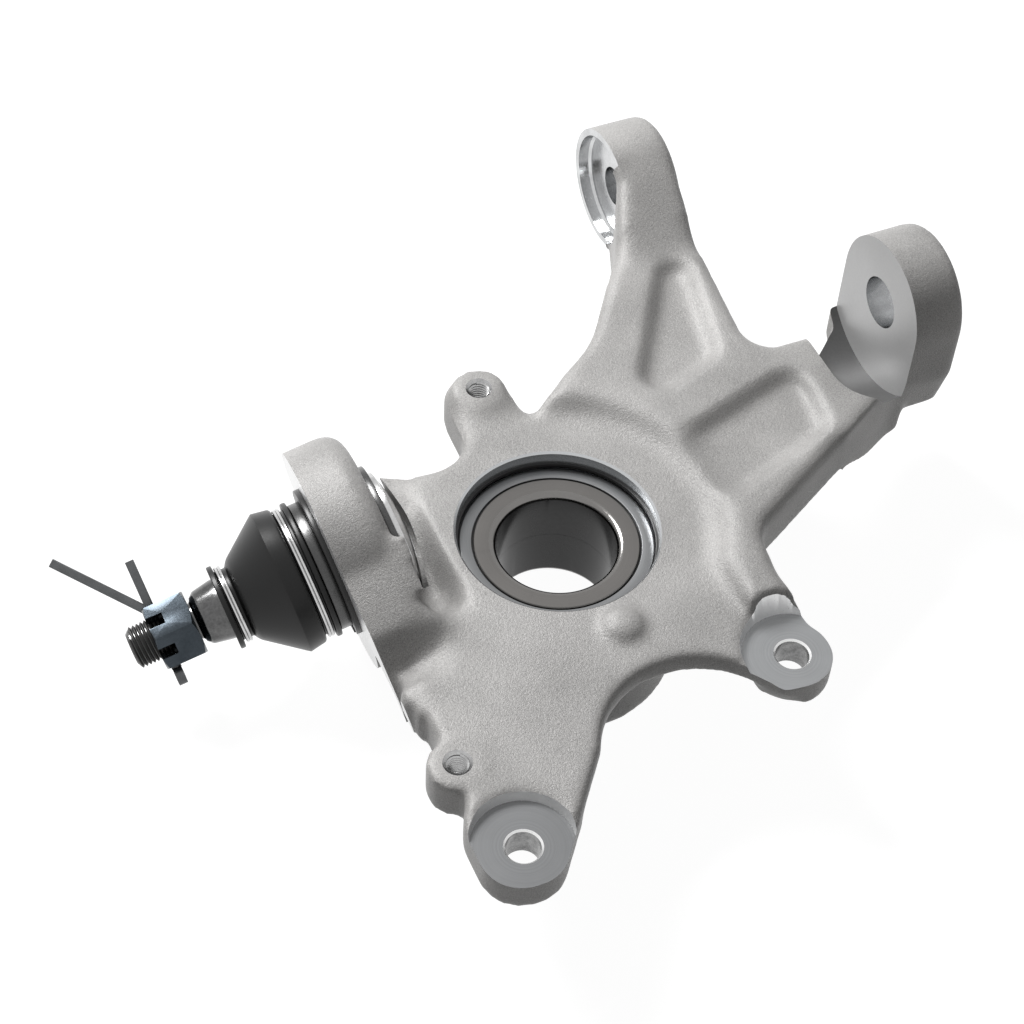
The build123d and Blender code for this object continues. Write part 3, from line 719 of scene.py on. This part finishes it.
def lug_tools(place, face_finish):
    """The cutter for one lug's spot face with its sloping wall, and its drilled hole."""
    spread = SPOT_CUT_RISE * math.tan(LUG_SPOT_WALL)
    # The holes take the drilled finish with its painted shade, the walls the cut wall finish with its
    # painted highlight.
    return [turned("tool", [
        (0, 0),
        (LUG_HOLE_R, 0),
        (LUG_HOLE_R, LUG_FACE_Z - 0.7),
        (LUG_HOLE_R + 0.7, LUG_FACE_Z),
        (LUG_SPOT_R, LUG_FACE_Z),
        (LUG_SPOT_R + spread, LUG_FACE_Z + SPOT_CUT_RISE),
        (0, LUG_FACE_Z + SPOT_CUT_RISE),
    ], placed(place), 144, [DRILL_SHADE, DRILL_SHADE, WALL_GLINT, face_finish, WALL_GLINT, WALL_GLINT, DRILL_SHADE])]


def boss_tools(place):
    x, y, top = place
    return [turned("tool", [
        (0, 0),
        (THREAD_R, 0),
        (THREAD_R, top - 1.2),
        (THREAD_R + 1.2, top),
        (THREAD_R + 1.2, top + 8),
        (0, top + 8),
    ], placed((x, y, 0)), 64, [TAP] * 6)]


def ear_tools():
    """The upper ear's bore, and the round cutter that faced it and scooped the arm in front."""
    depth = EAR.x - SCOOP_START
    outline = [(0, -depth)]
    for k in range(9):
        turn = math.pi / 2 * k / 8
        outline.append((
            SCOOP_R - SCOOP_END_R + SCOOP_END_R * math.sin(turn),
            SCOOP_END_R - depth - SCOOP_END_R * math.cos(turn),
        ))
    outline += [(SCOOP_R, 0), (0, 0)]
    # The scoop takes the darker copy, painted shade; the face takes the lighter copy, painted light.
    scoop = turned("tool", outline, along_x(EAR), 144, [SCOOP_SHADE] * (len(outline) - 2) + [FACE_LIT] * 2)
    bore = disc("tool", EAR_BORE_R, -5, EAR_THICK + 5, along_x(EAR))
    return [scoop, milled(bore)]


def tie_tools():
    """The tie rod ear's cup and bore, and the face of its free half."""
    cup = turned("tool", [
        (0, -9),
        (TIE_CUP_R, -9),
        (TIE_CUP_R, TIE_CUP_DEPTH - 1),
        (TIE_CUP_R - 1, TIE_CUP_DEPTH),
        (0, TIE_CUP_DEPTH),
    ], along_x(TIE), 144, [MILL] * 5)
    bore = disc("tool", TIE_BORE_R, -5, TIE_THICK + 5, along_x(TIE))
    corners = ((150, -4), (195, -4), (195, 64), (150, 64))
    face = prism("tool", corners, -12, 0, along_x(Vector((TIE.x, 0, 0))))
    return [milled(cup), milled(bore), milled(face)]


def eye_tools():
    """The eye's bore and face, and the round room behind it for the flange and end cap."""
    bore = disc("tool", EYE_BORE_R, -26, 20, JOINT)
    face = disc("tool", EYE_FACE_R, 0, 8, JOINT)
    room = turned("tool", [
        (0, -EYE_THICK),
        (RECESS_R, -EYE_THICK),
        (RECESS_R, RECESS_RIM),
        (0, RECESS_MIDDLE),
    ], JOINT, 144, [CAST_SKIN] * 4)
    # The eye's face takes the cut wall finish with its painted highlight.
    for polygon in face.data.polygons:
        polygon.material_index = WALL_GLINT
    return [milled(bore), face, room]


def milled(tool):
    for polygon in tool.data.polygons:
        polygon.material_index = MILL
    return tool


def dress_casting():
    body = soft_casting()
    # The far lug's face takes the darker copy, painted shade.
    tools = hub_tools() + lug_tools(NEAR_LUG, NEAR) + lug_tools(FAR_LUG, FAR_SHADE)
    tools += boss_tools(UPPER_BOSS) + boss_tools(LOWER_BOSS)
    tools += ear_tools() + tie_tools() + eye_tools()
    for obj in [body] + tools:
        for material in CASTING_FINISHES:
            obj.data.materials.append(material)
    shade(cut(body, tools))
    dressed(body, "knuckle", CASTING_FINISHES, "cast_aluminium", "knuckle_casting")
    for name, (x, y, top) in (("upper_boss_thread", UPPER_BOSS), ("lower_boss_thread", LOWER_BOSS)):
        crest = THREAD_CREST - THREAD_R
        ridge = [(0.1, -0.55), (crest, -0.08), (crest, 0.08), (0.1, 0.55)]
        place = placed((x, y, 0))
        thread = coiled(name, THREAD_R, THREAD_PITCH, PLATE_BOTTOM + 1, top - 1.2, ridge, place, 40)
        dressed(shade(thread), "knuckle", [TAPPED], "cast_aluminium")


def dress_bearing():
    """The inner rings with ground faces, and roundovers and bores of polished steel painted dark as a dark
    reflection; the outer and retaining rings.
    """
    for side, name in ((1, "outboard"), (-1, "inboard")):
        inner = cad_copy(f"inner_ring_{name}", f"bearing_inner_ring_{name}")
        for polygon in inner.data.polygons:
            corners = [inner.data.vertices[i].co / MM for i in polygon.vertices]
            reach = max(math.hypot(corner.x, corner.y) for corner in corners)
            # Bore and roundover faces take polished steel painted dark as a dark reflection.
            if reach < BORE_R + 0.1:
                polygon.material_index = 2
            elif reach < BORE_R + BORE_ROUNDOVER + 0.1 and side * polygon.center.z > 0:
                polygon.material_index = 1
        shade(inner, 24)
        finishes = [INNER_FACE, INNER_EDGE_DARKENED, INNER_BORE_DARKENED]
        dressed(inner, "bearing_inner", finishes, "bearing_steel", f"bearing_inner_ring_{name}")
    outer = bevelled(cad_copy("outer_ring", "bearing_outer_ring"), 0.35, 3, 40)
    dressed(shade(outer, 28), "knuckle", [OUTER_RING], "bearing_steel", "bearing_outer_ring")
    spring = bevelled(cad_copy("retaining_ring", "bearing_retaining_ring"), 0.2, 2, 40)
    dressed(shade(spring), "knuckle", [BLACK_STEEL], "black_steel", "bearing_retaining_ring")


def dress_stud():
    """The ball stud: ball, neck, tapered shank, cross hole and rolled thread."""
    outline = []
    for k in range(25):
        turn = math.pi * k / 24
        radius, along = BALL_R * math.sin(turn), BALL_AT - BALL_R * math.cos(turn)
        if along > BALL_AT and radius < NECK_R:
            break
        outline.append((radius if k else 0, along))
    root = STUD_THREAD_R - 0.9
    outline += [(NECK_R, BALL_AT + math.sqrt(BALL_R ** 2 - NECK_R ** 2)), (NECK_R, NECK_END)]
    outline += eased([(11.8, 35.0, 1.5), (11.8, 43.2, 1.2), (10.4, 50.8, 0.6), (8.4, 52.9, 0.3)])
    outline += [(root, 53.4), (root, STUD_END - 1.2), (root - 1.2, STUD_END), (0, STUD_END)]
    stud = turned("ball_stud_shank", outline, JOINT, 96)
    across = placed(
        JOINT_FACE + JOINT_AXIS * PIN_AT,
        JOINT_AXIS,
        Y_AXIS * -math.sin(PIN_TURN) + JOINT_DOWN * math.cos(PIN_TURN),
        Y_AXIS * math.cos(PIN_TURN) + JOINT_DOWN * math.sin(PIN_TURN),
    )
    cut(stud, [disc("tool", PIN_HOLE_R, -PIN_HOLE_REACH, PIN_HOLE_REACH, across, 32)])
    dressed(shade(stud, 28), "stud", [STUD_STEEL_DARKENED], "polished_steel", "ball_stud")
    ridge = [(-1.0, -0.72), (-0.08, -0.12), (-0.08, 0.12), (-1.0, 0.72)]
    start, end = STUD_THREAD_START, STUD_END - 0.9
    thread = coiled("stud_thread", STUD_THREAD_R, STUD_THREAD_PITCH, start, end, ridge, JOINT)
    cut(thread, [disc("tool", PIN_HOLE_R, -PIN_HOLE_REACH, PIN_HOLE_REACH, across, 32)])
    dressed(shade(thread, 28), "stud", [THREAD_STEEL], "polished_steel")


def dress_fasteners():
    """The slotted nut and split pin with eased edges."""
    nut = bevelled(cad_copy("nut_slotted", "slotted_nut"), 0.45, 3, 25)
    dressed(shade(nut, 20), "stud", [ZINC_SHADED], "zinc_steel", "slotted_nut")
    pin = bevelled(cad_copy("pin_split", "split_pin"), 0.18, 2, 35)
    dressed(shade(pin, 28), "stud", [DULL_ZINC], "dull_zinc", "split_pin")


def dress_boot():
    """The boot in two pieces, a skirt and a cone."""
    skirt = turned("boot_skirt", eased([
        (22.3, 6.5, 0), (26.7, 6.5, 0.6), (26.7, 8.5, 0.6), (24.2, 8.6, 0.3), (24.2, 12.4, 0.3),
        (26.6, 12.8, 1.2), (27.7, 19.7, 0), (26.0, 19.7, 0), (24.4, 14.6, 0.8), (22.3, 12.9, 0),
    ]), JOINT, 128)
    cone = turned("boot_cone", eased([
        (26.0, 19.69, 0), (27.7, 19.69, 0.01), (26.6, 21.2, 0.5), (15.9, 35.0, 1.6), (13.6, 36.3, 0.5),
        (13.6, 40.4, 0.3), (16.3, 40.6, 0.5), (16.3, 42.6, 0.5), (12.2, 42.6, 0.2), (12.2, 36.4, 0.4),
        (14.0, 33.2, 1.0),
    ]), JOINT, 128)
    for piece in (skirt, cone):
        loops = piece.modifiers.new("loops", "SUBSURF")
        loops.subdivision_type = "SIMPLE"
        loops.levels = 1
        shade(applied(piece), 40)
    dressed(skirt, None, [RUBBER], "black_rubber", "boot")
    dressed(cone, None, [RUBBER], "black_rubber", "boot")
    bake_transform(skirt)
    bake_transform(cone)


def dress_clamps():
    """Two close coils of spring wire round each end of the boot."""
    wire_r = 0.65
    section = [(wire_r * math.cos(math.pi * k / 5), wire_r * math.sin(math.pi * k / 5)) for k in range(10)]
    for name, node, body, middle, seat_r in (
        ("clamp_coil_large", "boot_clamp_large", "knuckle", 10.5, 24.2),
        ("clamp_coil_small", "boot_clamp_small", "boot_neck", 38.45, 13.6),
    ):
        coil = coiled(name, seat_r + 0.3 + wire_r, 1.25, middle - 1.2, middle + 1.2, section, JOINT, 96)
        dressed(shade(coil, 60), body, [WIRE], "polished_steel", node)


def dress_housing():
    """The pressed housing with its band painted dark as a dark reflection, the bright end cap and the
    circlip.
    """
    housing = bevelled(cad_copy("housing_band", "ball_joint_housing"), 0.3, 2, 35)
    dressed(shade(housing), "knuckle", [HOUSING_DARKENED], "polished_steel", "ball_joint_housing")
    cap = bevelled(cad_copy("end_cap_dome", "ball_joint_end_cap"), 0.4, 3, 30)
    dressed(shade(cap), "knuckle", [CAP_STEEL], "polished_steel", "ball_joint_end_cap")
    clip = bevelled(cad_copy("circlip_ring", "ball_joint_circlip"), 0.25, 2, 40)
    dressed(shade(clip), "knuckle", [BLACK_STEEL], "black_steel", "ball_joint_circlip")


NODE_FINISH = {
    "bearing_balls_outboard": BALL_STEEL,
    "bearing_balls_inboard": BALL_STEEL,
    "bearing_cage_outboard": CAGE,
    "bearing_cage_inboard": CAGE,
    "bearing_seal_outboard": RUBBER,
    "bearing_seal_inboard": RUBBER,
    "ball_joint_seat": SEAT,
    "ball_joint_bottom_seat": SEAT,
    "ball_joint_spring_washer": CAP_STEEL,
}


def finish_nodes():
    for name, material in NODE_FINISH.items():
        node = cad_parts[name]
        node.data.materials.clear()
        node.data.materials.append(material)


def seen_rays(shader):
    """1 for the rays that should see the plain background: camera, mirror and glass rays."""
    rays = shader.node("ShaderNodeLightPath")
    seen = shader.maths("ADD", rays.outputs["Is Camera Ray"], rays.outputs["Is Glossy Ray"], clamp=True)
    return shader.maths("ADD", seen, rays.outputs["Is Transmission Ray"], clamp=True)


FLOOR_HALF = 12.0
FLOOR_GLOW = 0.96
WORLD_LIGHT = 0.1


def make_floor():
    """A plain white floor that keeps the soft shadow."""
    bm = bmesh.new()
    half = FLOOR_HALF
    z = HUB_BOSS_BOTTOM * MM
    corners = [(-half, -half, z), (half, -half, z), (half, half, z), (-half, half, z)]
    bm.faces.new([bm.verts.new(c) for c in corners])
    floor = finished(bm, "floor")
    material, shader, surface = new_material("floor white")
    surface.inputs["Base Color"].default_value = (0.2, 0.2, 0.2, 1)
    surface.inputs["Roughness"].default_value = 1.0
    surface.inputs["Specular IOR Level"].default_value = 0.0
    surface.inputs["Emission Color"].default_value = (1, 1, 1, 1)
    glow = shader.maths("MULTIPLY", seen_rays(shader), FLOOR_GLOW)
    shader.join(glow, surface.inputs["Emission Strength"])
    floor.data.materials.append(material)


def make_world():
    """Plain pale surroundings, seen as white by the camera and by reflections."""
    world = bpy.data.worlds.new("studio")
    bpy.context.scene.world = world
    world.use_nodes = True
    shader = Shader(world.node_tree)
    background = world.node_tree.nodes["Background"]
    background.inputs["Color"].default_value = (1, 1, 1, 1)
    strength = shader.node("ShaderNodeMix", data_type="FLOAT")
    strength.inputs[2].default_value = WORLD_LIGHT
    strength.inputs[3].default_value = 1.0
    shader.join(seen_rays(shader), strength.inputs[0])
    shader.join(strength.outputs[0], background.inputs["Strength"])


def make_lamp(name, place, target, size, power):
    data = bpy.data.lights.new(name, "AREA")
    data.shape = "RECTANGLE"
    data.size = size[0]
    data.size_y = size[1]
    data.energy = power
    lamp = bpy.data.objects.new(name, data)
    bpy.context.scene.collection.objects.link(lamp)
    lamp.location = place
    lamp.rotation_euler = (Vector(target) - Vector(place)).to_track_quat("-Z", "Y").to_euler()


def make_camera():
    """The photograph's view: above and in front, half way down to the plate."""
    place = Vector((-257.1, -477.2, 675.7)) * MM
    turn = math.radians(-26.5)
    elevation = math.radians(49.65)
    roll = math.radians(3.65)
    camera_data = bpy.data.cameras.new("photo camera")
    camera_data.sensor_width = 36
    camera_data.lens = 80.86
    camera = bpy.data.objects.new("photo camera", camera_data)
    bpy.context.scene.collection.objects.link(camera)
    look = Matrix.Rotation(turn, 4, "Z") @ Matrix.Rotation(math.pi / 2 - elevation, 4, "X")
    camera.matrix_world = Matrix.Translation(place) @ look @ Matrix.Rotation(roll, 4, "Z")
    bpy.context.scene.camera = camera


make_camera()
make_world()
make_floor()
make_lamp("key", (-0.35, 0.9, 1.0), (0.0, 0.08, 0), (0.6, 0.5), 26)
dress_casting()
dress_bearing()
dress_stud()
dress_fasteners()
dress_boot()
dress_clamps()
dress_housing()
finish_nodes()

bpy.context.scene.view_settings.view_transform = "Standard"
